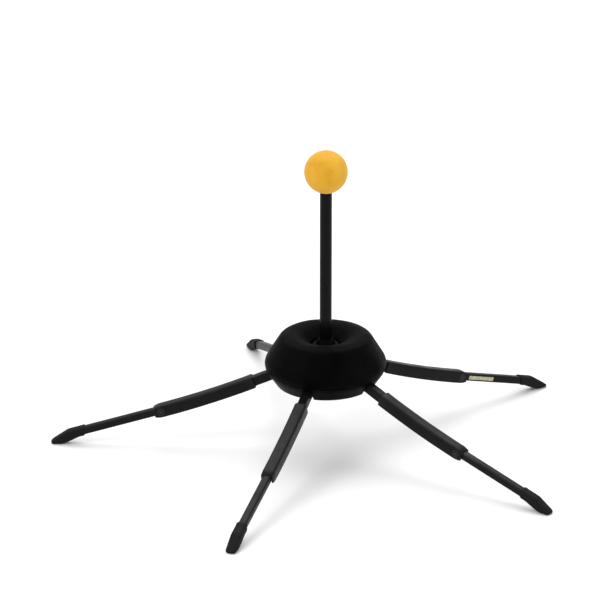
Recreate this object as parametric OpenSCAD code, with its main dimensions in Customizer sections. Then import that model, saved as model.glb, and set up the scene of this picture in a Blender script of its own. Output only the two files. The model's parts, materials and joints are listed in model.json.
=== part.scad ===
// In-bell stand for a small wind instrument. Five jointed legs fold out from a
// padded ring hub, and a slim peg with a soft ball guides the bell onto the pad.
// Millimetres, Z up, origin on the hub axis at floor level. Leg 1 points to -X
// and the others follow every 72 degrees, counter-clockwise seen from above.

/* [Stand] */
// Radius of the circle through the foot tips
foot_r = 160; // [156:1:166]
// Height of the top of the ball above the floor
stand_h = 182.2; // [170:0.1:200]

/* [Pad and hub] */
// Diameter of the pad ring at its widest
pad_d = 71.4; // [69:0.2:73]
// Height of the pad crest above the hub's split plane
pad_h = 23.3; // [22.5:0.1:25]
// Thickness of the velvet cover
cover_t = 0.9; // [0.6:0.1:1.2]
// Radius of the hole in the middle of the pad
pad_hole_r = 8; // [7.9:0.1:8.6]
// Depth of the lower hub shell below the split plane
shell_h = 7.4; // [7.2:0.1:8]

/* [Peg and ball] */
// Outer diameter of the peg tube
peg_d = 7; // [6.6:0.1:7.4]
// Inner diameter of the peg tube
peg_bore_d = 4.6; // [4.4:0.1:5]
// Diameter of the ball
ball_d = 25; // [22:0.5:28]

/* [Inner legs] */
// Radius of the circle through the knee pins
knee_r = 95.5; // [94:0.5:97]
// Height of the knee pins above the floor
knee_z = 21.5; // [21:0.1:22]
// Slope of the leg where it leaves the hub, in degrees
root_slope = 22.7; // [22:0.1:23.5]
// Radius of the gentle bow along the inner leg
bow_r = 518; // [505:1:530]
// Distance from the hip pin to the start of the channel
tongue_l = 17.9; // [17.5:0.1:18.5]
// Width of the channel
channel_w = 7.2; // [7:0.1:7.6]
// Height of the channel
channel_h = 7; // [6.8:0.1:7.4]

/* [Outer legs and feet] */
// Width of the outer leg bar
bar_w = 4.8; // [4.4:0.1:4.8]
// Height of the outer leg bar
bar_h = 4.5; // [4.2:0.1:4.5]
// Width of a rubber foot
foot_w = 6.5; // [6:0.1:7]
// Thickness of a rubber foot around the bar
foot_h = 5.5; // [5.4:0.1:5.8]

/* [Hidden] */
LEGS = 5;

fit = 0.05;        // radial clearance of a running or sliding fit
pin_fit = 0.02;    // radial clearance of a pin that stays put

// Leg line, as [radius, height] in the plane of a leg
tip_z = 2.6;
knee = [knee_r, knee_z];
outer_slope = atan2(knee_z - tip_z, foot_r - knee_r);
bow_centre = knee + bow_r * [sin(outer_slope), cos(outer_slope)];
root = bow_centre - bow_r * [sin(root_slope), cos(root_slope)];
hip = root + tongue_l * [-cos(root_slope), sin(root_slope)];

// Leg sections and pins
tongue_w = 5;
tongue_h = 5.5;
eye_d = 6.4;
hip_pin_r = 1.5;
hip_pin_l = 13;
knee_pin_r = 1.25;
rivet_head = [2.2, 0.4];
groove_w = bar_w + 0.3;
groove_roof = bar_h / 2 + fit;
web_l = 6;
edge = 0.6;
knuckle_l = 1;
bar_l = 55.5;
foot_start = 47.3;
bevel_start = 56;
heel = 50.5;
sole_start_r = foot_r - 6;
toe_r = 1.6;

// Heights in the hub
split_z = hip.y;
base_z = split_z - shell_h;
flange_z = split_z + 1.6;
platform_z = split_z + 6.3;
column_z = split_z + 14.3;
cap_z = column_z + 2.5;
collar_z = cap_z + 3;
peg_foot_z = split_z + 2.8;
crest_z = split_z + pad_h;

// Radii in the hub
flange_r = 33.5;
platform_r = 30;
column_r = 9.5;
slot_w = tongue_w + 0.5;
slot_inner_r = hip.x - 3.9;
hip_relief_r = 3.5;
peg_r = peg_d / 2;
peg_bore_r = peg_bore_d / 2;
pocket_r = 7;
plug_r = 8.5;
plug_t = 1.65;
hub_screw_at = 24;
hub_screw_r = 1.2;
hub_screw_head = [2.2, 1.8];
peg_screw_r = 1.5;
peg_screw_head = [2.75, 3];
washer = [5, 1];

// Heights of the peg and the ball
ball_r = ball_d / 2;
ball_z = stand_h - ball_r;
peg_top_z = ball_z - 5.7;
plug_top_z = ball_z + 2.9;
ball_hole_r = 2.8;

// Pad outline, as arcs [radius of the centre, height of the centre, radius of the arc]:
// a lip and a basin round the hole, a crown, a shoulder and a belly
belly = [pad_d / 2 - 7, split_z + 4.84, 7];
shoulder = [belly.x - 5.6, crest_z - 6.3, 5.6];
crown = [belly.x - 8.5, crest_z - 8.4, 8.4];
basin = [crown.x, crest_z - 12, 12];
lip = [pad_hole_r + 2.4, crest_z - 7.5, 2.4];
pad_floor_z = flange_z + fit;
pad_hole_z = column_z + fit;

function arc(circle_at, from, to, inset = 0) = [
    for (i = [0:8])
        let (angle = from + (to - from) * i / 8, r = circle_at.z - inset)
        [circle_at.x + r * cos(angle), circle_at.y + r * sin(angle)]
];

// The direction in which one straight line touches two arcs that follow each other
function touch(a, b) =
    90 + atan2(b.y - a.y, b.x - a.x) + asin((b.z - a.z) / norm([b.x - a.x, b.y - a.y]));

// A point s along the outer leg from the knee pin, d below its centre line
function outer_point(s, d) =
    knee + s * [cos(outer_slope), -sin(outer_slope)] - d * [sin(outer_slope), cos(outer_slope)];

module at_leg(k) {
    rotate([0, 0, 180 + (k - 1) * 360 / LEGS]) children();
}

module between_legs() {
    for (k = [1:LEGS]) at_leg(k + 0.5) children();
}

// Leg sections have X down and Y across the leg
module rounded_section(h, w, r) {
    square([h, w - 2 * r], center = true);
    square([h - 2 * r, w], center = true);
    for (x = [-1, 1], y = [-1, 1]) {
        translate([x * (h / 2 - r), y * (w / 2 - r)]) circle(r, $fn = 32);
    }
}

module chamfered_section(h, w, c) {
    x = h / 2;
    y = w / 2;
    polygon([
        [-x, y - c], [-x, c - y], [c - x, -y], [x - c, -y],
        [x, c - y], [x, y - c], [x - c, y], [c - x, y]
    ]);
}

module along(start, slope, l) {
    translate([start.x, 0, start.y]) rotate([0, 90 + slope, 0]) linear_extrude(l) children();
}

module bowed(from_slope, to_slope) {
    translate([bow_centre.x, 0, bow_centre.y]) rotate([90, 0, 0]) rotate([0, 0, 270 - from_slope])
        rotate_extrude(angle = from_slope - to_slope, $fn = 720) translate([bow_r, 0]) children();
}

module across(at, r, l) {
    translate([at.x, 0, at.y]) rotate([90, 0, 0]) cylinder(r = r, h = l, center = true, $fn = 64);
}

// The round end of a channel, with the channel's own edges
module knuckle(at, h, w, c) {
    translate([at.x, 0, at.y]) rotate([90, 0, 0]) rotate_extrude($fn = 64) polygon([
        [0, -w / 2], [h / 2 - c, -w / 2], [h / 2, c - w / 2], [h / 2, w / 2 - c], [h / 2 - c, w / 2], [0, w / 2]
    ]);
}

module groove_section() {
    translate([-groove_roof, -groove_w / 2]) square([channel_h, groove_w]);
}

module ring(r, bore_r, z0, z1) {
    translate([0, 0, z0]) difference() {
        cylinder(r = r, h = z1 - z0, $fn = 96);
        translate([0, 0, -1]) cylinder(r = bore_r, h = z1 - z0 + 2, $fn = 96);
    }
}

module disc(r, z0, z1) {
    translate([0, 0, z0]) cylinder(r = r, h = z1 - z0, $fn = 96);
}

// The room that a tongue and its eye need above and below the split plane
module hip_room() {
    across(hip, hip_relief_r, slot_w);
    translate([hip.x, 0, hip.y]) rotate([0, root_slope, 0])
        translate([0, -slot_w / 2, -tongue_h]) cube([30, slot_w, tongue_h * 1.5 + 0.08]);
}

module pin_grooves() {
    for (k = [1:LEGS]) at_leg(k) across(hip, hip_pin_r + pin_fit, hip_pin_l + 0.2);
}

module hub_upper() {
    color("#202124") difference() {
        union() {
            translate([0, 0, split_z]) cylinder(r1 = flange_r, r2 = flange_r + 0.8, h = flange_z - split_z, $fn = 96);
            disc(platform_r, split_z, platform_z);
            disc(column_r, split_z, column_z);
        }
        disc(peg_r + pin_fit, peg_foot_z, column_z + 1);
        disc(peg_screw_r + fit, split_z - 1, peg_foot_z + 1);
        for (k = [1:LEGS]) at_leg(k) hip_room();
        pin_grooves();
        between_legs() translate([hub_screw_at, 0, split_z - 1])
            cylinder(r = hub_screw_r + pin_fit, h = 6.5, $fn = 32);
    }
}

module hub_lower() {
    rim = [27.3, base_z + 2, 2];
    color("#1b1c1e") difference() {
        rotate_extrude($fn = 96) polygon(concat(
            [[0, base_z]], arc(rim, -90, -36), [[flange_r, split_z], [0, split_z]]
        ));
        disc(plug_r + fit, base_z - 1, base_z + plug_t + fit);
        disc(pocket_r, base_z, split_z + 1);
        ring(18.5, 10.5, base_z + 2.4, split_z + 1);
        for (k = [1:LEGS]) at_leg(k) {
            translate([slot_inner_r, -slot_w / 2, base_z - 1]) cube([20, slot_w, shell_h + 2]);
        }
        pin_grooves();
        between_legs() translate([hub_screw_at, 0, base_z]) {
            translate([0, 0, -1]) cylinder(r = hub_screw_r + 0.1, h = shell_h + 2, $fn = 32);
            translate([0, 0, -1]) cylinder(r = hub_screw_head.x + 0.2, h = 3.2, $fn = 32);
        }
    }
}

module pad_solid(inset) {
    rotate_extrude($fn = 96) polygon(concat(
        [[pad_hole_r + inset, pad_hole_z]],
        arc(lip, 180, touch(lip, basin), inset),
        arc(basin, touch(lip, basin), 90, inset),
        arc(crown, 90, touch(crown, shoulder), inset),
        arc(shoulder, touch(crown, shoulder), touch(shoulder, belly), inset),
        arc(belly, touch(shoulder, belly), -27, inset),
        [[belly.x, pad_floor_z], [pad_hole_r + inset, pad_floor_z]]
    ));
}

module above(z) {
    intersection() {
        children();
        disc(60, z, z + 60);
    }
}

module pad_core() {
    color("#3a3a3c") difference() {
        above(pad_floor_z) pad_solid(cover_t + fit);
        disc(platform_r + 0.2, split_z, platform_z + 0.2);
        disc(column_r + 0.2, split_z, column_z + 0.2);
    }
}

module pad_cover() {
    color("#0c0c0e") difference() {
        above(pad_floor_z) pad_solid(0);
        translate([0, 0, -fit]) pad_solid(cover_t);
        disc(pad_hole_r + cover_t, split_z, pad_hole_z);
        disc(platform_r, split_z, platform_z);
    }
}

module dish_cap() {
    color("#18181a") difference() {
        union() {
            disc(pad_hole_r - 0.2, column_z, cap_z - 0.5);
            translate([0, 0, cap_z - 0.5])
                cylinder(r1 = pad_hole_r - 0.2, r2 = pad_hole_r - 0.7, h = 0.5, $fn = 96);
            translate([0, 0, cap_z]) cylinder(r1 = 5.6, r2 = 4.2, h = collar_z - cap_z, $fn = 96);
        }
        disc(peg_r + pin_fit, column_z - 1, collar_z + 1);
    }
}

module peg_tube() {
    color("#26272a") ring(peg_r, peg_bore_r, peg_foot_z, peg_top_z);
}

module peg_insert() {
    color("#b08d57") ring(peg_bore_r - pin_fit, peg_screw_r + pin_fit, peg_foot_z, peg_foot_z + 11.5);
}

module peg_screw() {
    head_z = split_z - washer.y;
    color("#8f9296") difference() {
        union() {
            disc(peg_screw_head.x, head_z - peg_screw_head.y, head_z);
            disc(peg_screw_r, head_z - 1, peg_foot_z + 9.5);
        }
        translate([0, 0, head_z - peg_screw_head.y - 1]) cylinder(r = 1.45, h = 2.8, $fn = 6);
    }
}

module peg_washer() {
    color("#a2a5a9") ring(washer.x, peg_screw_r + 0.1, split_z - washer.y, split_z);
}

module tip_plug() {
    color("#303236") {
        disc(peg_bore_r - pin_fit, peg_top_z - 10, peg_top_z);
        disc(ball_hole_r - pin_fit, peg_top_z, plug_top_z);
    }
}

module ball_tip() {
    color("#f0b42f") difference() {
        translate([0, 0, ball_z]) sphere(r = ball_r, $fn = 128);
        disc(peg_r + pin_fit, ball_z - ball_r - 1, peg_top_z + fit);
        disc(ball_hole_r, peg_top_z - 1, plug_top_z + 0.4);
    }
}

module hub_screws() {
    color("#77797d") between_legs() translate([hub_screw_at, 0, base_z + 2.2]) difference() {
        union() {
            translate([0, 0, -hub_screw_head.y]) cylinder(r = hub_screw_head.x, h = hub_screw_head.y, $fn = 48);
            translate([0, 0, -1]) cylinder(r = hub_screw_r, h = 11, $fn = 32);
        }
        for (turn = [0, 90]) rotate([0, 0, turn]) {
            translate([0, 0, -hub_screw_head.y]) cube([2.6, 0.6, 2], center = true);
        }
    }
}

module base_plug() {
    color("#1b1c1e") disc(plug_r, base_z, base_z + plug_t);
}

module hip_pin(k) {
    color("#9a9da1") at_leg(k) across(hip, hip_pin_r, hip_pin_l);
}

module leg_inner(k) {
    web = web_l / bow_r * 180 / PI;
    end_at = outer_point(knuckle_l, 0);
    color("#2b2c2e") at_leg(k) difference() {
        union() {
            bowed(root_slope, outer_slope) chamfered_section(channel_h, channel_w, edge);
            along(knee, outer_slope, knuckle_l) chamfered_section(channel_h, channel_w, edge);
            knuckle(end_at, channel_h, channel_w, edge);
            along(hip, root_slope, tongue_l + 1) chamfered_section(tongue_h, tongue_w, edge);
            across(hip, eye_d / 2, tongue_w);
        }
        bowed(root_slope - web, outer_slope) groove_section();
        along(knee, outer_slope, channel_h) groove_section();
        across(hip, hip_pin_r + fit, channel_w);
        across(knee, knee_pin_r + pin_fit, channel_w + 2);
    }
}

module knee_pin(k) {
    head = rivet_head;
    half_l = channel_w / 2;
    color("#3c3d40") at_leg(k) translate([knee.x, 0, knee.y]) rotate([90, 0, 0]) {
        cylinder(r = knee_pin_r, h = channel_w, center = true, $fn = 64);
        for (side = [0, 180]) rotate([side, 0, 0]) translate([0, 0, half_l])
            rotate_extrude($fn = 64) polygon([
                [0, 0], [head.x, 0], [head.x * 0.93, head.y * 0.5], [head.x * 0.65, head.y * 0.9], [0, head.y]
            ]);
    }
}

module leg_outer(k) {
    color("#2b2c2e") at_leg(k) difference() {
        union() {
            across(knee, bar_h / 2 - 0.02, bar_w - 0.1);
            along(knee, outer_slope, bar_l) rounded_section(bar_h, bar_w, 0.9);
        }
        across(knee, knee_pin_r + fit, channel_w);
    }
}

// Side view of a foot: a sleeve on the bar, a heel down to the flat sole, a round
// toe and a bevel back up to the sleeve
module foot_side() {
    polygon(concat(
        [outer_point(foot_start, -foot_h / 2), outer_point(bevel_start, -foot_h / 2)],
        arc([foot_r - toe_r, toe_r, toe_r], 56, -90),
        [[sole_start_r, 0], outer_point(heel, foot_h / 2), outer_point(foot_start, foot_h / 2)]
    ));
}

module foot_plan() {
    toe_corner = 2.4;
    translate([foot_r - 30, -foot_w / 2]) square([30 - toe_corner, foot_w]);
    translate([foot_r - 30, -foot_w / 2 + toe_corner]) square([30, foot_w - 2 * toe_corner]);
    for (side = [-1, 1]) {
        translate([foot_r - toe_corner, side * (foot_w / 2 - toe_corner)]) circle(toe_corner, $fn = 48);
    }
}

module foot(k) {
    color("#161617") at_leg(k) difference() {
        intersection() {
            rotate([90, 0, 0]) linear_extrude(foot_w, center = true) foot_side();
            translate([0, 0, -1]) linear_extrude(20) foot_plan();
        }
        along(outer_point(foot_start - 5, 0), outer_slope, bar_l - foot_start + 5 + fit)
            rounded_section(bar_h + 0.04, bar_w + 0.04, 0.92);
    }
}

hub_upper();
hub_lower();
pad_core();
pad_cover();
dish_cap();
peg_tube();
peg_insert();
peg_screw();
peg_washer();
tip_plug();
ball_tip();
hub_screws();
base_plug();
for (k = [1:LEGS]) {
    hip_pin(k);
    leg_inner(k);
    knee_pin(k);
    leg_outer(k);
    foot(k);
}
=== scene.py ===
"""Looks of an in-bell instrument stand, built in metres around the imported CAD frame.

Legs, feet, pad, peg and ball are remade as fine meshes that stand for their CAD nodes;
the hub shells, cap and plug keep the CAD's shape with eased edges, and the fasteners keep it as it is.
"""
import json
import math
import random

import bmesh
import bpy
from mathutils import Matrix, Vector, noise


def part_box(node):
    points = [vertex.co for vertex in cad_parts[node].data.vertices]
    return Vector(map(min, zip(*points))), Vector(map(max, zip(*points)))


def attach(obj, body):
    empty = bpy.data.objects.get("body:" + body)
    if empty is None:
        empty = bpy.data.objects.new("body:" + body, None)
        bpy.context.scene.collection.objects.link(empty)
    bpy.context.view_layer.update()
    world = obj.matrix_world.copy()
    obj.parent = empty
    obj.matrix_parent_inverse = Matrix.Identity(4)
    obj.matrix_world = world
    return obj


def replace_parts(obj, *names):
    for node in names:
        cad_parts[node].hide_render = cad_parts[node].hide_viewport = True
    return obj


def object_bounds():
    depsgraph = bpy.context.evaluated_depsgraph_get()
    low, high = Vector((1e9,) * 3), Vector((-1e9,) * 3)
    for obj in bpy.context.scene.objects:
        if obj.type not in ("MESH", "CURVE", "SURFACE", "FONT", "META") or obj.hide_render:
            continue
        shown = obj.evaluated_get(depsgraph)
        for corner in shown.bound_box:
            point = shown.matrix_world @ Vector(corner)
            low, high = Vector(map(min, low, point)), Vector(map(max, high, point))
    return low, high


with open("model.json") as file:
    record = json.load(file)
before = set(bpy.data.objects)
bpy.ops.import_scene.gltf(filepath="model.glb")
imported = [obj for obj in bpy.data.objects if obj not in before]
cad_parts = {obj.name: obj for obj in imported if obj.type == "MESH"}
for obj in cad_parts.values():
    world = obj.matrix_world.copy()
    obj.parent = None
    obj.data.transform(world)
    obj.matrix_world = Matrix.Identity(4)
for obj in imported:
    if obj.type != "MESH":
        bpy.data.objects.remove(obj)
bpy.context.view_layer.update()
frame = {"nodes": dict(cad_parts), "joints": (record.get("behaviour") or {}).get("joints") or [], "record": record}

MM = 0.001
WELD = 1e-7
AXIS_R = 1e-6
LEGS = range(1, 6)
JOINTS = {joint["name"]: joint for joint in frame["joints"]}

# Camera: a long lens from the front, slightly right and above
CAMERA_AZIMUTH = math.radians(1.6)
CAMERA_ELEVATION = math.radians(21.8)
CAMERA_DISTANCE = 2.78
FRAME_WIDTH = 0.345

# Sizes that the frame's boxes and joints don't give. Pairs are width and height.
# Inner leg: a solid tongue at the hip, then a bowed channel with a web and a nose
ROOT_SLOPE = math.radians(22.7)
BOW_R = 518 * MM
TONGUE = (5.0 * MM, 5.5 * MM)
EYE_R = 3.2 * MM
CHANNEL = (7.2 * MM, 7.0 * MM)
CHANNEL_TOP_R = 1.3 * MM
NOSE_TOP_R = 1.2 * MM
GROOVE = (5.1 * MM, 2.3 * MM)
WEB = 6 * MM
NOSE = 4 * MM
NOSE_REACH = 7.3 * MM
NOSE_START = -1 * MM
HIP_BORE_R = 1.55 * MM
KNEE_BORE_R = 1.3 * MM

# Outer leg and foot
BAR = (4.8 * MM, 4.5 * MM)
BAR_LENGTH = 55.5 * MM
BAR_EDGE_R = 1.1 * MM
TIP_HEIGHT = 2.6 * MM
FOOT = (6.5 * MM, 5.5 * MM)
FOOT_LENGTH = 19.9 * MM
FOOT_BEVEL_LENGTH = 10 * MM
FOOT_TAPER = 2.4 * MM
SOLE_LENGTH = 6 * MM
TOE_LENGTH = 2.6 * MM
TOE_TOP = 2.3 * MM
TOE_NOSE = 1.1 * MM

# The pad's section: the radii of its arcs and where they lie
PAD_HOLE_R = 8 * MM
LIP_R = 2.4 * MM
BASIN_R = 12 * MM
CROWN_R = 8.4 * MM
SHOULDER_R = 5.6 * MM
SHOULDER_DROP = 6.3 * MM
BELLY_R = 7 * MM
BELLY_RISE = 3.2 * MM
CREST_INSET = 8.5 * MM
LIP_DROP = 7.5 * MM
HEM_TURN = -26

# The pad's cover: where it is glued down, how far it may swell, and its puckers
COVER_INSET = 0.5 * MM
GLUED_R = 12.3 * MM
GLUED_HEIGHT = 0.8 * MM
SWELL_LIMIT = 0.75 * MM
SWELL_STEPS = 20
HEM_WAVES = (17, 23, 31, 37)
HEM_REACH = 4.5 * MM
HEM_DEPTH = 0.22
LIP_WAVES = (13, 19, 26)
LIP_REACH = 6.5 * MM
LIP_DEPTH = 0.3

# The stripe on the fourth outer leg, measured along the leg from the knee pin
PRINT_START = 6.4 * MM
PRINT_END = 25 * MM
PRINT_HALF_HEIGHT = 1.1 * MM
PRINT_T = 0.02 * MM


# ---------------------------------------------------------------- mesh helpers

def add_object(name, mesh):
    """Puts a mesh into the scene under a name."""
    piece = bpy.data.objects.new(name, mesh)
    bpy.context.scene.collection.objects.link(piece)
    return piece


def mesh_from_bmesh(name, bm, sharp_angle=35):
    """Turns the bmesh into a smooth-shaded mesh whose steep edges stay sharp."""
    bmesh.ops.recalc_face_normals(bm, faces=bm.faces)
    mesh = bpy.data.meshes.new(name)
    bm.to_mesh(mesh)
    bm.free()
    for polygon in mesh.polygons:
        polygon.use_smooth = True
    mesh.set_sharp_from_angle(angle=math.radians(sharp_angle))
    return mesh


def sweep(rings):
    """A closed solid through rings of points that all have the same count."""
    bm = bmesh.new()
    loops = [[bm.verts.new(point) for point in ring] for ring in rings]
    for near, far in zip(loops, loops[1:]):
        for i in range(len(near)):
            j = (i + 1) % len(near)
            bm.faces.new((near[i], near[j], far[j], far[i]))
    bm.faces.new(loops[0])
    bm.faces.new(loops[-1])
    bmesh.ops.remove_doubles(bm, verts=bm.verts, dist=WELD)
    bmesh.ops.dissolve_degenerate(bm, dist=WELD, edges=bm.edges)
    return bm


def lathe(profile, steps=128):
    """Turns (radius, height) points round the Z axis. Points on the axis become poles."""
    bm = bmesh.new()
    columns = []
    for i in range(steps):
        angle = 2 * math.pi * i / steps
        columns.append([bm.verts.new((r * math.cos(angle), r * math.sin(angle), z)) for r, z in profile])
    for i in range(steps):
        here, there = columns[i], columns[(i + 1) % steps]
        for j in range(len(profile)):
            k = (j + 1) % len(profile)
            on_axis = profile[j][0] < AXIS_R and profile[k][0] < AXIS_R
            if not on_axis:
                bm.faces.new((here[j], there[j], there[k], here[k]))
    bmesh.ops.remove_doubles(bm, verts=bm.verts, dist=WELD)
    bmesh.ops.dissolve_degenerate(bm, dist=WELD, edges=bm.edges)
    return bm


def arc(centre, radius, start, end, steps):
    """Points of an arc in a plane, from start to end degrees."""
    points = []
    for i in range(steps + 1):
        angle = math.radians(start + (end - start) * i / steps)
        points.append((centre[0] + radius * math.cos(angle), centre[1] + radius * math.sin(angle)))
    return points


def apply_modifiers(piece):
    """Bakes every modifier of a piece into its mesh."""
    graph = bpy.context.evaluated_depsgraph_get()
    mesh = bpy.data.meshes.new_from_object(piece.evaluated_get(graph))
    piece.modifiers.clear()
    old = piece.data
    piece.data = mesh
    bpy.data.meshes.remove(old)


def cut(piece, tool):
    """Cuts one solid out of another and removes the tool."""
    boolean = piece.modifiers.new("cut", "BOOLEAN")
    boolean.operation = "DIFFERENCE"
    boolean.solver = "EXACT"
    boolean.object = tool
    bpy.context.view_layer.update()
    apply_modifiers(piece)
    bpy.data.objects.remove(tool)


def cross_rod(at, radius, length):
    """A rod across the leg plane, as a cutting tool."""
    bm = bmesh.new()
    turn = Matrix.Translation(at) @ Matrix.Rotation(math.pi / 2, 4, "X")
    bmesh.ops.create_cone(bm, cap_ends=True, segments=48, radius1=radius, radius2=radius,
                          depth=length, matrix=turn)
    return add_object("tool", mesh_from_bmesh("tool", bm))


def turned_copy(source, name, angle):
    """A copy of a piece drawn towards +X, turned about Z to another heading."""
    mesh = source.data.copy()
    mesh.name = name
    mesh.transform(Matrix.Rotation(angle, 4, "Z"))
    return add_object(name, mesh)


def eased(node, name, width, segments=2):
    """The CAD's own shape with eased edges, to stand for that node."""
    bm = bmesh.new()
    bm.from_mesh(frame["nodes"][node].data)
    bmesh.ops.remove_doubles(bm, verts=bm.verts, dist=1e-6)
    bmesh.ops.dissolve_limit(bm, angle_limit=math.radians(0.5), verts=bm.verts, edges=bm.edges)
    piece = add_object(name, mesh_from_bmesh(name, bm, 30))
    bevel = piece.modifiers.new("ease", "BEVEL")
    bevel.width = width
    bevel.segments = segments
    bevel.limit_method = "ANGLE"
    bevel.angle_limit = math.radians(40)
    bevel.harden_normals = True
    bevel.use_clamp_overlap = True
    apply_modifiers(piece)
    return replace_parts(piece, node)


# ------------------------------------------------------------------- materials

class Graph:
    """A small helper that wires one procedural material."""

    def __init__(self, name, colour, roughness, **fixed):
        self.material = bpy.data.materials.new(name)
        self.material.use_nodes = True
        self.tree = self.material.node_tree
        self.shader = self.tree.nodes["Principled BSDF"]
        self.shader.inputs["Base Color"].default_value = (*colour, 1)
        self.shader.inputs["Roughness"].default_value = roughness
        for socket, value in fixed.items():
            self.shader.inputs[socket.replace("_", " ")].default_value = value
        self.place = self.node("ShaderNodeTexCoord").outputs["Object"]
        self.normal = None

    def node(self, kind, **settings):
        """Adds a node to the material."""
        made = self.tree.nodes.new(kind)
        for key, value in settings.items():
            setattr(made, key, value)
        return made

    def link(self, out, socket):
        self.tree.links.new(out, socket)

    def stretched(self, scale):
        """Object coordinates stretched along the axes."""
        mapping = self.node("ShaderNodeMapping")
        mapping.inputs["Scale"].default_value = scale
        self.link(self.place, mapping.inputs["Vector"])
        return mapping.outputs["Vector"]

    def noise(self, scale, detail, place=None, roughness=0.5):
        """Cloudy noise from 0 to 1."""
        made = self.node("ShaderNodeTexNoise")
        made.inputs["Scale"].default_value = scale
        made.inputs["Detail"].default_value = detail
        made.inputs["Roughness"].default_value = roughness
        self.link(place or self.place, made.inputs["Vector"])
        return made.outputs["Fac"]

    def cells(self, scale):
        """The distance to the nearest of many scattered points."""
        made = self.node("ShaderNodeTexVoronoi")
        made.inputs["Scale"].default_value = scale
        self.link(self.place, made.inputs["Vector"])
        return made.outputs["Distance"]

    def ramp(self, value, stops):
        """Maps a value onto (position, colour) stops."""
        made = self.node("ShaderNodeValToRGB")
        while len(made.color_ramp.elements) < len(stops):
            made.color_ramp.elements.new(0.5)
        for element, (position, colour) in zip(made.color_ramp.elements, stops):
            element.position = position
            element.color = (*colour, 1)
        self.link(value, made.inputs["Fac"])
        return made.outputs["Color"]

    def span(self, value, low, high, to_low, to_high):
        """Maps a value from one range onto another."""
        made = self.node("ShaderNodeMapRange")
        limits = {"From Min": low, "From Max": high, "To Min": to_low, "To Max": to_high}
        for socket, number in limits.items():
            made.inputs[socket].default_value = number
        self.link(value, made.inputs["Value"])
        return made.outputs["Result"]

    def towards(self, factor, base, colour):
        """Blends the base into a fixed colour where the factor is 1."""
        made = self.node("ShaderNodeMix", data_type="RGBA")
        self.link(factor, made.inputs[0])
        self.link(base, made.inputs[6])
        made.inputs[7].default_value = (*colour, 1)
        return made.outputs[2]

    def colour(self, out):
        self.link(out, self.shader.inputs["Base Color"])

    def roughness(self, out):
        self.link(out, self.shader.inputs["Roughness"])

    def bump(self, height, depth, strength):
        """Adds a bump layer: depth is the height of the full range in metres."""
        made = self.node("ShaderNodeBump")
        made.inputs["Strength"].default_value = strength
        made.inputs["Distance"].default_value = depth
        self.link(height, made.inputs["Height"])
        if self.normal:
            self.link(self.normal, made.inputs["Normal"])
        self.normal = made.outputs["Normal"]
        self.link(self.normal, self.shader.inputs["Normal"])

    def edges(self):
        """1 on convex edges, 0 elsewhere."""
        point = self.node("ShaderNodeNewGeometry").outputs["Pointiness"]
        return self.span(point, 0.52, 0.6, 0, 1)


def velvet_material():
    """Short black pile, brushed in soft patches, that catches light at a grazing angle."""
    g = Graph("velvet", (0.0015, 0.0015, 0.0018), 0.5, Sheen_Weight=0.012, Sheen_Roughness=0.3,
              Specular_IOR_Level=0.018)
    shade, light = (0.0007, 0.0007, 0.0009), (0.0024, 0.0024, 0.0028)
    brushed = g.noise(70, 3, g.stretched((1, 1, 0.6)))
    g.colour(g.ramp(brushed, [(0.35, shade), (0.68, light)]))
    g.roughness(g.span(brushed, 0.3, 0.7, 0.42, 0.58))
    g.bump(g.noise(420, 3), 0.25 * MM, 0.5)
    g.bump(g.noise(2600, 2), 0.2 * MM, 0.8)
    return g.material


def powder_coat_material(name, colour, roughness, specular):
    """Satin black powder coat with a fine orange peel and rubbed edges."""
    g = Graph(name, colour, roughness, Specular_IOR_Level=specular)
    light = tuple(channel * 1.5 for channel in colour)
    worn = tuple(channel * 3.4 + 0.01 for channel in colour)
    base = g.ramp(g.noise(45, 4), [(0.35, colour), (0.7, light)])
    g.colour(g.towards(g.edges(), base, worn))
    g.roughness(g.span(g.noise(160, 3), 0.3, 0.7, roughness - 0.07, roughness + 0.1))
    g.bump(g.noise(900, 2), 0.05 * MM, 0.55)
    return g.material


def moulded_material(name, colour, roughness, specular):
    """Moulded plastic with a spark-eroded grain."""
    g = Graph(name, colour, roughness, Specular_IOR_Level=specular)
    light = tuple(channel * 1.45 for channel in colour)
    g.colour(g.ramp(g.noise(60, 3), [(0.3, colour), (0.75, light)]))
    g.roughness(g.span(g.noise(240, 2), 0.3, 0.7, roughness - 0.06, roughness + 0.08))
    g.bump(g.cells(1700), 0.05 * MM, 0.6)
    return g.material


def rubber_material(name, colour, dust):
    """Matte rubber with a little dust and a slightly pitted skin."""
    g = Graph(name, colour, 0.72, Specular_IOR_Level=0.14)
    patches = g.noise(110, 5, roughness=0.65)
    g.colour(g.ramp(patches, [(0.42, colour), (0.78, dust)]))
    g.roughness(g.span(patches, 0.35, 0.75, 0.62, 0.88))
    g.bump(g.noise(1300, 3), 0.06 * MM, 0.6)
    return g.material


def ball_material():
    """Yellow moulded rubber: a warm even colour, faint mottling, a pitted matte skin."""
    g = Graph("ball", (0.7, 0.36, 0.02), 0.6, Specular_IOR_Level=0.2, Sheen_Weight=0.12,
              Sheen_Roughness=0.4)
    dull, plain, bright = (0.6, 0.29, 0.013), (0.68, 0.35, 0.019), (0.73, 0.4, 0.034)
    mottle = g.noise(95, 4, roughness=0.6)
    g.colour(g.ramp(mottle, [(0.3, dull), (0.5, plain), (0.75, bright)]))
    g.roughness(g.span(g.noise(380, 3), 0.3, 0.7, 0.46, 0.66))
    g.bump(g.cells(1500), 0.05 * MM, 0.5)
    g.bump(g.noise(300, 2), 0.08 * MM, 0.35)
    return g.material


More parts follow.
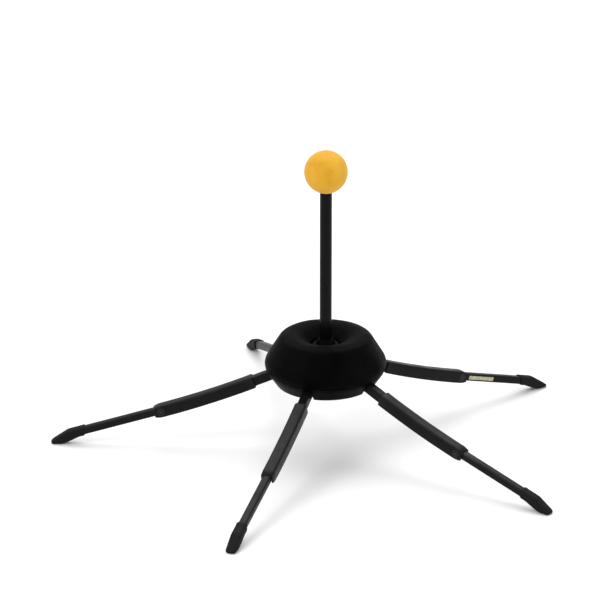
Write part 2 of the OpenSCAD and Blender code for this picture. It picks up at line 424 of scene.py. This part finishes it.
def steel_material(name, colour, roughness):
    """Turned or plated steel with fine scratches."""
    g = Graph(name, colour, roughness, Metallic=1.0)
    dark = tuple(channel * 0.72 for channel in colour)
    scratches = g.noise(900, 3, g.stretched((1, 1, 0.08)))
    g.colour(g.ramp(scratches, [(0.3, dark), (0.7, colour)]))
    g.roughness(g.span(scratches, 0.3, 0.7, roughness - 0.08, roughness + 0.14))
    g.bump(scratches, 0.02 * MM, 0.4)
    return g.material


def foam_material():
    """Closed-cell foam."""
    g = Graph("foam", (0.035, 0.035, 0.037), 0.95, Specular_IOR_Level=0.2)
    cells = g.cells(900)
    g.colour(g.ramp(cells, [(0.1, (0.02, 0.02, 0.021)), (0.6, (0.045, 0.045, 0.048))]))
    g.bump(cells, 0.3 * MM, 0.8)
    return g.material


def print_material():
    """Pale yellow screen print with thin spots."""
    g = Graph("print", (0.47, 0.44, 0.28), 0.5, Specular_IOR_Level=0.4)
    worn, plain, pale = (0.26, 0.24, 0.14), (0.47, 0.44, 0.28), (0.55, 0.52, 0.36)
    thin = g.noise(800, 4, roughness=0.7)
    g.colour(g.ramp(thin, [(0.36, worn), (0.52, plain), (0.8, pale)]))
    g.bump(thin, 0.02 * MM, 0.5)
    return g.material


def floor_material():
    """A plain pale studio floor."""
    g = Graph("floor", (0.86, 0.86, 0.86), 0.6, Specular_IOR_Level=0.2)
    g.colour(g.ramp(g.noise(3, 2), [(0.3, (0.85, 0.85, 0.85)), (0.7, (0.88, 0.88, 0.88))]))
    return g.material


VELVET = velvet_material()
LEG_PAINT = powder_coat_material("leg_paint", (0.003, 0.003, 0.0034), 0.34, 0.11)
PEG_PAINT = powder_coat_material("peg_paint", (0.002, 0.002, 0.0023), 0.22, 0.09)
RIVET_PAINT = powder_coat_material("rivet_paint", (0.0055, 0.0055, 0.006), 0.34, 0.18)
HUB_PLASTIC = moulded_material("hub_plastic", (0.001, 0.001, 0.0012), 0.45, 0.03)
PLUG_PLASTIC = moulded_material("plug_plastic", (0.03, 0.03, 0.033), 0.5, 0.4)
FOOT_RUBBER = rubber_material("foot_rubber", (0.0035, 0.0035, 0.0038), (0.011, 0.0107, 0.01))
BALL_RUBBER = ball_material()
SCREW_STEEL = steel_material("screw_steel", (0.45, 0.46, 0.48), 0.32)
PIN_STEEL = steel_material("pin_steel", (0.5, 0.51, 0.53), 0.25)
INSERT_BRASS = steel_material("insert_brass", (0.65, 0.45, 0.18), 0.3)
FOAM = foam_material()
PRINT = print_material()

SLOT_MATERIALS = {
    "hub_plastic": HUB_PLASTIC, "pad_foam": FOAM, "pad_velvet": VELVET, "peg_paint": PEG_PAINT,
    "insert_brass": INSERT_BRASS, "screw_steel": SCREW_STEEL, "plug_plastic": PLUG_PLASTIC,
    "ball_rubber": BALL_RUBBER, "pin_steel": PIN_STEEL, "leg_paint": LEG_PAINT,
    "rivet_paint": RIVET_PAINT, "foot_rubber": FOOT_RUBBER,
}


def dress(piece, slot, body):
    """Gives a new piece the material of its slot and the body it rides on."""
    piece.data.materials.clear()
    piece.data.materials.append(SLOT_MATERIALS[slot])
    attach(piece, body)
    return piece


def dress_cad_nodes():
    """Gives every CAD node the material of its slot in the record."""
    for subpart in frame["record"]["subparts"]:
        node = frame["nodes"][subpart["node"]]
        node.data.materials.clear()
        node.data.materials.append(SLOT_MATERIALS[subpart["material_slot"]])


# ------------------------------------------------------------------------ legs

class LegLine:
    """The leg's centre line in its plane: x outwards, z up, s measured from the knee pin."""

    def __init__(self):
        self.hip = self.in_plane("hip_fold_1")
        self.knee = self.in_plane("knee_fold_1")
        low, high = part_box("foot_1")
        self.foot_r = max(abs(low.x), abs(high.x))
        self.slope = math.atan2(self.knee.z - TIP_HEIGHT, self.foot_r - self.knee.x)
        self.centre = self.knee + BOW_R * Vector((math.sin(self.slope), 0, math.cos(self.slope)))
        self.root_s = -(ROOT_SLOPE - self.slope) * BOW_R
        self.root = self.point(self.root_s)
        self.tongue_length = (self.hip - self.root).length

    @staticmethod
    def in_plane(joint):
        """A joint's place, turned into the plane towards +X."""
        at = Vector(JOINTS[joint]["pos_m"])
        return Vector((math.hypot(at.x, at.y), 0, at.z))

    def point(self, s):
        if s >= 0:
            return self.knee + s * self.along(0)
        angle = self.slope - s / BOW_R
        return self.centre - BOW_R * Vector((math.sin(angle), 0, math.cos(angle)))

    def along(self, s):
        """The direction towards the foot."""
        angle = self.slope - min(s, 0) / BOW_R
        return Vector((math.cos(angle), 0, -math.sin(angle)))

    def up(self, s):
        """The direction square to the line, away from the floor."""
        outwards = self.along(s)
        return Vector((-outwards.z, 0, outwards.x))


LINE = LegLine()


def heading(k):
    """The angle that turns a leg drawn towards +X onto leg k."""
    at = Vector(JOINTS[f"knee_fold_{k}"]["pos_m"])
    return math.atan2(at.y, at.x)


def place(at, up, section):
    """Section points (y, height) set at a point, square to the leg."""
    return [at + Vector((0, y, 0)) + h * up for y, h in section]


def bar_section(width, height, radius, steps=4):
    """A rounded rectangle, as (y, height) points round its centre."""
    w, h = width / 2, height / 2
    radius = min(radius, 0.98 * w, 0.98 * h)
    corners = ((w, h, 0), (-w, h, 90), (-w, -h, 180), (w, -h, 270))
    points = []
    for x, y, start in corners:
        centre = (x - math.copysign(radius, x), y - math.copysign(radius, y))
        points += arc(centre, radius, start, start + 90, steps)
    return points


def channel_section(width, height, top_radius, depth):
    """A channel open below. depth, from 0 to 1, opens the groove out of a solid bar."""
    w, h = width / 2, height / 2
    lip_radius = 0.35 * MM
    lip_inside = 0.3 * MM
    corner = 0.5 * MM
    groove_w = min(GROOVE[0] / 2, w - lip_inside)
    roof = min(GROOVE[1], h - 0.25 * MM)
    outer = [(-groove_w, -h)]
    outer += arc((-w + lip_radius, -h + lip_radius), lip_radius, 270, 180, 3)
    outer += arc((-w + top_radius, h - top_radius), top_radius, 180, 90, 5)
    outer += arc((w - top_radius, h - top_radius), top_radius, 90, 0, 5)
    outer += arc((w - lip_radius, -h + lip_radius), lip_radius, 0, -90, 3)
    outer += [(groove_w, -h)]
    inner = [(groove_w, -h + lip_inside)]
    inner += arc((groove_w - corner, roof - corner), corner, 0, 90, 3)
    inner += arc((-groove_w + corner, roof - corner), corner, 90, 180, 3)
    inner += [(-groove_w, -h + lip_inside)]
    if depth == 1:
        return outer + inner
    return outer + [(y * (0.98 - 0.02 * i), -h + depth * (z + h)) for i, (y, z) in enumerate(inner)]


def inner_leg_rings():
    """Rings from the hip eye, along the tongue, over the shoulder and down the bowed channel."""
    tongue_up = LINE.up(LINE.root_s)
    tongue_along = LINE.along(LINE.root_s)
    rings = []

    def tongue_ring(s, height):
        section = channel_section(TONGUE[0], height, min(0.6 * MM, height / 3), 0)
        rings.append(place(LINE.hip + s * tongue_along, tongue_up, section))

    # round the eye from behind, until the tongue's own height is reached in front
    for i in range(13):
        angle = math.radians(172 - 11 * i)
        reach = EYE_R * math.cos(angle)
        height = 2 * EYE_R * math.sin(angle)
        if reach > 0 and height < TONGUE[1]:
            break
        tongue_ring(reach, height)
    for share in (0.3, 0.6, 0.985):
        tongue_ring(share * LINE.tongue_length, TONGUE[1])
    # the shoulder: millimetres forward of the root, and inwards
    for forward, inset in ((0.0, -0.9), (0.25, -0.25), (0.9, 0)):
        s = LINE.root_s + forward * MM
        width, height = CHANNEL[0] + 1.2 * inset * MM, CHANNEL[1] + 1.2 * inset * MM
        section = channel_section(width, height, NOSE_TOP_R, 0)
        rings.append(place(LINE.point(s), LINE.up(s), section))
    # the web is solid; the groove opens right after it and runs down the bow
    stations = [(LINE.root_s + WEB, 0), (LINE.root_s + WEB + 0.4 * MM, 1)]
    bow_steps = 26
    bow_start = LINE.root_s + WEB + 1.5 * MM
    bow_length = -1.2 * MM - bow_start
    stations += [(bow_start + bow_length * i / bow_steps, 1) for i in range(bow_steps + 1)]
    for s, depth in stations:
        section = channel_section(*CHANNEL, CHANNEL_TOP_R, depth)
        rings.append(place(LINE.point(s), LINE.up(s), section))
    # the nose drops in a round curve past the knee rivet
    nose_steps = 8
    for i in range(nose_steps + 1):
        s = NOSE_START + (NOSE - NOSE_START) * math.sin(math.pi / 2 * i / nose_steps)
        height = CHANNEL[1] * math.sqrt(1 - ((s - NOSE_START) / NOSE_REACH) ** 2)
        width = CHANNEL[0] - (0.5 * MM if i == nose_steps else 0)
        section = channel_section(width, height, NOSE_TOP_R, 1)
        rings.append(place(LINE.point(s), LINE.up(s), section))
    return rings


def outer_leg_rings():
    """Rings of the outer bar, from its round end in the channel to its end in the foot."""
    rings = []
    up = LINE.up(0)
    half = BAR[1] / 2
    for i in range(8):
        angle = math.radians(172 - 11.7 * i)
        section = bar_section(BAR[0], 2 * half * math.sin(angle), BAR_EDGE_R)
        rings.append(place(LINE.point(0) + half * math.cos(angle) * LINE.along(0), up, section))
    for share in (0, 0.12, 0.3, 0.5, 0.7, 0.9, 1):
        rings.append(place(LINE.point(share * BAR_LENGTH), up, bar_section(*BAR, BAR_EDGE_R)))
    return rings


def make_legs():
    """Inner and outer legs, drawn once, cut for their pins and turned to every heading."""
    inner_mesh = mesh_from_bmesh("leg_inner_draft", sweep(inner_leg_rings()))
    outer_mesh = mesh_from_bmesh("leg_outer_draft", sweep(outer_leg_rings()))
    inner = add_object("leg_inner_draft", inner_mesh)
    outer = add_object("leg_outer_draft", outer_mesh)
    cut(inner, cross_rod(LINE.hip, HIP_BORE_R, 20 * MM))
    for draft in (inner, outer):
        cut(draft, cross_rod(LINE.knee, KNEE_BORE_R, 20 * MM))
        for polygon in draft.data.polygons:
            polygon.use_smooth = True
        draft.data.set_sharp_from_angle(angle=math.radians(38))
    for k in LEGS:
        piece = turned_copy(inner, f"inner_leg_{k}", heading(k))
        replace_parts(dress(piece, "leg_paint", f"leg_{k}"), f"leg_inner_{k}")
        piece = turned_copy(outer, f"outer_leg_{k}", heading(k))
        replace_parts(dress(piece, "leg_paint", f"leg_end_{k}"), f"leg_outer_{k}")
    for draft in (inner, outer):
        bpy.data.objects.remove(draft)


# ------------------------------------------------------------------------ feet

def foot_ring(x, top, bottom, width, radius):
    """An upright ring of a foot at radius x from the stand's axis."""
    height = max(top - bottom, 0.2 * MM)
    middle = (top + bottom) / 2
    section = bar_section(width, height, min(radius, 0.48 * height), 3)
    return [Vector((x, y, middle + h)) for y, h in section]


def foot_rings():
    """A rubber sleeve round the bar that ends in a flat sole and a low rounded toe."""
    start_r = LINE.foot_r - FOOT_LENGTH
    sole_r = LINE.foot_r - SOLE_LENGTH
    bevel_r = LINE.foot_r - FOOT_BEVEL_LENGTH
    half = FOOT[1] / 2 / math.cos(LINE.slope)
    fall = math.tan(LINE.slope)
    rings = []

    def axis(x):
        """The height of the bar's centre line at radius x."""
        return LINE.knee.z - (x - LINE.knee.x) * fall

    # the rolled mouth: millimetres forward of the foot's start, and outwards
    mouth = ((1.6, -1.5), (0.0, -1.4), (-0.1, -0.9), (0.0, -0.35), (0.35, 0.0), (1.2, 0.0))
    for forward, grow in mouth:
        x = start_r + forward * MM
        top = axis(x) + half + grow * MM / 2
        bottom = axis(x) - half - grow * MM / 2
        rings.append(foot_ring(x, top, bottom, FOOT[0] + grow * MM, 1.5 * MM))
    # the body: bevelled on top towards the toe, swept down to the sole below
    heel_r = start_r + 2.6 * MM
    stations = 22
    for i in range(stations + 1):
        x = heel_r + (LINE.foot_r - 0.15 * MM - heel_r) * i / stations
        top = axis(x) + half
        if x > bevel_r:
            share = (x - bevel_r) / (LINE.foot_r - 1.2 * MM - bevel_r)
            top = (axis(bevel_r) + half) * (1 - share) + TOE_TOP * share
        toe = max(0.0, (x - (LINE.foot_r - TOE_LENGTH)) / TOE_LENGTH)
        round_off = math.sqrt(max(0.0, 1 - toe ** 2))
        bottom = 0.0
        if x < sole_r:
            heel_share = (x - heel_r) / (sole_r - heel_r)
            bottom = max((axis(x) - half) * (1 - heel_share ** 1.5), 0.0)
        if toe > 0:
            top = TOE_NOSE + (max(top, 1.7 * MM) - TOE_NOSE) * round_off
            bottom = TOE_NOSE * (1 - round_off)
        width = FOOT[0] - 2 * FOOT_TAPER * (1 - round_off)
        rings.append(foot_ring(x, top, bottom, width, 1.7 * MM))
    return rings


def make_feet():
    """Five rubber feet, drawn once and turned to every heading."""
    draft = add_object("foot_draft", mesh_from_bmesh("foot_draft", sweep(foot_rings()), 60))
    smooth = draft.modifiers.new("smooth", "SUBSURF")
    smooth.levels = smooth.render_levels = 1
    apply_modifiers(draft)
    for k in LEGS:
        piece = turned_copy(draft, f"rubber_foot_{k}", heading(k))
        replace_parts(dress(piece, "foot_rubber", f"leg_end_{k}"), f"foot_{k}")
    bpy.data.objects.remove(draft)


# ------------------------------------------------------------- pad, peg, ball

def touch(a, b):
    """Where, in degrees, two arcs (x, z, radius) that follow each other share a tangent line."""
    (ax, az, ar), (bx, bz, br) = a, b
    bend = math.asin((br - ar) / math.hypot(bx - ax, bz - az))
    return 90 + math.degrees(math.atan2(bz - az, bx - ax) + bend)


def between(start, end, spacing):
    """Evenly spaced points between two points of a section."""
    count = int(math.dist(start, end) / spacing)
    points = []
    for i in range(1, count + 1):
        points.append(tuple(a + (b - a) * i / (count + 1) for a, b in zip(start, end)))
    return points


def pad_profile(inset):
    """The pad ring's section, drawn inside the CAD ring by an inset."""
    low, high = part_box("pad_cover")
    top, bottom = high.z, low.z
    belly_x = high.x - BELLY_R
    belly = (belly_x, bottom + BELLY_RISE, BELLY_R)
    shoulder = (belly_x - SHOULDER_R, top - SHOULDER_DROP, SHOULDER_R)
    crown = (belly_x - CREST_INSET, top - CROWN_R, CROWN_R)
    basin = (crown[0], top - BASIN_R, BASIN_R)
    lip = (PAD_HOLE_R + LIP_R, top - LIP_DROP, LIP_R)
    turns = (180, touch(lip, basin), 90, touch(crown, shoulder), touch(shoulder, belly), HEM_TURN)
    points = []
    for i, (centre, steps) in enumerate(((lip, 5), (basin, 7), (crown, 4), (shoulder, 5), (belly, 9))):
        bend = arc(centre[:2], centre[2] - inset, turns[i], turns[i + 1], steps)
        if points:
            points += between(points[-1], bend[0], 1.6 * MM)
        if points and math.dist(points[-1], bend[0]) < 0.05 * MM:
            points.pop()
        points += bend
    return points, PAD_HOLE_R + inset, bottom + 0.05 * MM


def make_pad():
    """The velvet ring: inflated as cloth over its foam, then gathered at the hem and the lip."""
    profile, hole_r, bottom = pad_profile(COVER_INSET)
    hem = profile[-1]
    under = [(hem[0] - 0.6 * MM, bottom), (hem[0] * 0.75, bottom), (hem[0] * 0.5, bottom)]
    under += [(hole_r + 1 * MM, bottom)]
    wall = [(hole_r, bottom + 1 * MM), (hole_r, bottom + 5 * MM)]
    bm = lathe(profile + under + wall, 144)
    pad = add_object("velvet_pad", mesh_from_bmesh("velvet_pad", bm, 80))
    rest = [vertex.co.copy() for vertex in pad.data.vertices]
    inflate(pad, bottom)
    cap_movement(pad, rest, SWELL_LIMIT)
    gather(pad, bottom, hole_r)
    smooth = pad.modifiers.new("smooth", "SUBSURF")
    smooth.levels = smooth.render_levels = 1
    apply_modifiers(pad)
    dress(pad, "pad_velvet", "hub")
    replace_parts(pad, "pad_cover", "pad_core")


def inflate(pad, bottom):
    """Blows the closed cover up a little with Blender's cloth, held where it is glued down."""
    held = pad.vertex_groups.new(name="held")
    for vertex in pad.data.vertices:
        radius = math.hypot(vertex.co.x, vertex.co.y)
        if vertex.co.z < bottom + GLUED_HEIGHT or radius < GLUED_R:
            held.add([vertex.index], 1.0, "REPLACE")
    cloth = pad.modifiers.new("cloth", "CLOTH")
    settings = cloth.settings
    settings.quality = 6
    settings.mass = 0.2
    settings.tension_stiffness = 40
    settings.compression_stiffness = 40
    settings.bending_stiffness = 2
    settings.use_pressure = True
    settings.uniform_pressure_force = 4
    settings.vertex_group_mass = "held"
    settings.effector_weights.gravity = 0
    cloth.collision_settings.use_collision = False
    scene = bpy.context.scene
    for step in range(1, SWELL_STEPS + 1):
        scene.frame_set(step)
    apply_modifiers(pad)
    scene.frame_set(1)


def cap_movement(pad, rest, limit):
    """Keeps every point within a limit of where it started."""
    for vertex, start in zip(pad.data.vertices, rest):
        move = vertex.co - start
        if move.length > limit:
            vertex.co = start + move.normalized() * limit


def gather(pad, bottom, hole_r):
    """Soft puckers where the cloth is drawn in at the hem and the lip, and a hand-worked surface."""
    random.seed(7)
    hem_phase = [random.uniform(0, 2 * math.pi) for _ in HEM_WAVES]
    lip_phase = [random.uniform(0, 2 * math.pi) for _ in LIP_WAVES]
    normals = [vertex.normal.copy() for vertex in pad.data.vertices]
    for vertex, normal in zip(pad.data.vertices, normals):
        co = vertex.co
        angle = math.atan2(co.y, co.x)
        radius = math.hypot(co.x, co.y)
        hem_near = max(0.0, 1 - (co.z - bottom) / HEM_REACH) if radius > 25 * MM else 0.0
        lip_near = max(0.0, 1 - (radius - hole_r) / LIP_REACH)
        hem = sum(math.sin(n * angle + p) for n, p in zip(HEM_WAVES, hem_phase)) / len(HEM_WAVES)
        lip = sum(math.sin(n * angle + p) for n, p in zip(LIP_WAVES, lip_phase)) / len(LIP_WAVES)
        soft = noise.noise(co * 70) * 0.22 + noise.noise(co * 190) * 0.1
        move = hem * HEM_DEPTH * hem_near ** 1.5 + lip * LIP_DEPTH * lip_near ** 1.3 + soft
        vertex.co = co + normal * (move * MM)


def make_ball():
    """The ball: a turned rubber sphere with a parting line, a rolled mouth and a gate mark."""
    low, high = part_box("ball_tip")
    radius = (high.x - low.x) / 2
    centre_z = high.z - radius
    peg_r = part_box("peg_tube")[1].x
    mouth_r = peg_r + 0.05 * MM
    mouth_turn = math.acos((mouth_r + 0.6 * MM) / radius)
    mouth_z = centre_z - radius * math.sin(mouth_turn)
    # outside, from the mouth over the parting line to the gate mark
    outline = arc((0, centre_z), radius, -math.degrees(mouth_turn), -2.4, 40)
    parting = ((-0.02, -0.3), (0.07, -0.12), (0.07, 0.12), (-0.02, 0.3))
    outline += [(radius + out * MM, centre_z + rise * MM) for out, rise in parting]
    outline += arc((0, centre_z), radius, 2.4, 86, 40)
    gate = ((0.75, -0.04), (0.6, -0.22), (0, -0.26))
    outline += [(out * MM, high.z + rise * MM) for out, rise in gate]
    # inside, from the top of the plug's hole down to the mouth
    plug_r = 2.8 * MM
    inside_top = centre_z + 3.3 * MM
    seat_z = centre_z - 5.65 * MM
    inside = [(0, inside_top), (plug_r, inside_top), (plug_r, seat_z), (mouth_r, seat_z)]
    inside += [(mouth_r, mouth_z + 0.7 * MM), (mouth_r + 0.15 * MM, mouth_z + 0.15 * MM)]
    ball = add_object("soft_ball", mesh_from_bmesh("soft_ball", lathe(outline + inside, 160), 50))
    dress(ball, "ball_rubber", "hub")
    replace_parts(ball, "ball_tip")


def make_peg():
    """The peg: a painted steel tube with rolled ends."""
    low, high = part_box("peg_tube")
    outer, bore = high.x, 2.3 * MM
    roll = 0.4 * MM
    profile = arc((outer - roll, low.z + roll), roll, -90, 0, 4)
    profile += [(outer, low.z + (high.z - low.z) * i / 12) for i in range(1, 12)]
    profile += arc((outer - roll, high.z - roll), roll, 0, 90, 4)
    profile += [(bore, high.z), (bore, low.z)]
    peg = add_object("peg", mesh_from_bmesh("peg", lathe(profile, 96), 50))
    dress(peg, "peg_paint", "hub")
    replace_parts(peg, "peg_tube")


def make_hub_shells():
    """Hub shells, cap and plug keep the CAD's shape, with eased edges."""
    shells = (("hub_lower", "lower_shell", 0.35), ("hub_upper", "upper_shell", 0.25),
              ("dish_cap", "collar_cap", 0.3), ("base_plug", "bottom_plug", 0.3))
    for node, name, width in shells:
        dress(eased(node, name, width * MM), "hub_plastic", "hub")


def make_print():
    """A plain pale stripe printed on one side of the fourth outer leg, in place of any mark."""
    inside, outside = -BAR[0] / 2 + PRINT_T, -BAR[0] / 2 - PRINT_T
    top, bottom = PRINT_HALF_HEIGHT, -PRINT_HALF_HEIGHT
    section = ((inside, top), (outside, top), (outside, bottom), (inside, bottom))
    steps = 12
    rows = []
    for i in range(steps + 1):
        at = LINE.point(PRINT_START + (PRINT_END - PRINT_START) * i / steps)
        rows.append(place(at, LINE.up(0), section))
    stripe = add_object("plain_stripe", mesh_from_bmesh("plain_stripe", sweep(rows)))
    stripe.data.transform(Matrix.Rotation(heading(4), 4, "Z"))
    stripe.data.materials.append(PRINT)
    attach(stripe, "leg_end_4")


# ----------------------------------------------------------------------- stage

def make_stage():
    """A pale floor, three soft lights and a white surround."""
    bm = bmesh.new()
    bmesh.ops.create_grid(bm, x_segments=2, y_segments=2, size=6)
    floor = add_object("floor", mesh_from_bmesh("floor", bm))
    floor.data.materials.append(floor_material())
    world = bpy.data.worlds.new("studio")
    world.use_nodes = True
    background = world.node_tree.nodes["Background"]
    background.inputs["Color"].default_value = (1, 1, 1, 1)
    background.inputs["Strength"].default_value = 0.72
    bpy.context.scene.world = world
    bpy.context.scene.view_settings.view_transform = "Standard"
    aim = Vector((0, 0, 0.07))
    # name, place and size in metres, power in watts
    lamps = (("top", (0, 0.85, 1.5), 1.5, 19), ("key", (-0.8, -0.7, 1.1), 0.7, 7),
             ("fill", (1.2, -0.5, 0.8), 0.7, 4))
    for name, at, size, power in lamps:
        data = bpy.data.lights.new(name, "AREA")
        data.size = size
        data.energy = power
        lamp = bpy.data.objects.new(name, data)
        lamp.location = at
        lamp.rotation_euler = (aim - lamp.location).to_track_quat("-Z", "Y").to_euler()
        bpy.context.scene.collection.objects.link(lamp)


def make_camera():
    """A long lens at the reference viewing angle that frames the whole stand."""
    low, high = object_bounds()
    target = (low + high) / 2
    data = bpy.data.cameras.new("camera")
    data.sensor_width = 36
    data.lens = data.sensor_width * CAMERA_DISTANCE / FRAME_WIDTH
    camera = bpy.data.objects.new("camera", data)
    flat, rise = math.cos(CAMERA_ELEVATION), math.sin(CAMERA_ELEVATION)
    back = Vector((math.sin(CAMERA_AZIMUTH) * flat, -math.cos(CAMERA_AZIMUTH) * flat, rise))
    camera.location = target + back * CAMERA_DISTANCE
    camera.rotation_euler = (-back).to_track_quat("-Z", "Y").to_euler()
    bpy.context.scene.collection.objects.link(camera)
    bpy.context.scene.camera = camera


make_camera()
dress_cad_nodes()
make_legs()
make_feet()
make_pad()
make_peg()
make_ball()
make_hub_shells()
make_print()
make_stage()
